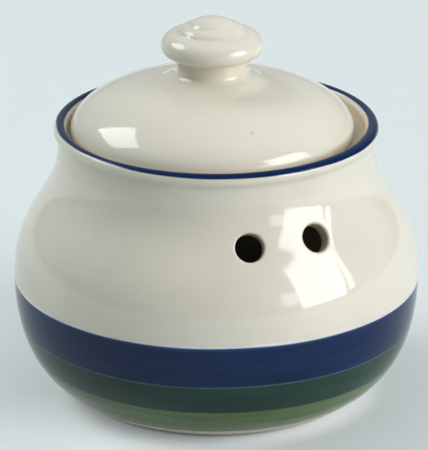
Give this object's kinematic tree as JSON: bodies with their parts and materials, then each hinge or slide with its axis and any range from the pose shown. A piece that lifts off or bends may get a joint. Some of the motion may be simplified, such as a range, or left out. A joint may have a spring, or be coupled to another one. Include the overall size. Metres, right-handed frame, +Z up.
{
  "type": "garlic keeper",
  "caption": "Round-bellied glazed stoneware jar with vent holes through its shoulder and a domed, stepped-knob lid that rests on a ledge inside the mouth.",
  "frame": {"origin": "middle of the foot, on the surface that the jar stands on", "axes": "+Z up along the jar's axis; -Y is the front, towards the middle of one pair of vent holes; +X is to the right of someone who faces that pair"},
  "size_m": [0.133, 0.133, 0.127],
  "materials": {
    "jar_glaze": "gloss",
    "lid_glaze": "gloss"
  },
  "bodies": {
    "jar": {"jar": "jar_glaze"},
    "lid": {"lid": "lid_glaze"}
  },
  "joints": [
    {"name": "lid_lift", "type": "slide", "parent": "jar", "child": "lid", "axis": [0, 0, 1], "range_m": [0, 0.1]}
  ]
}
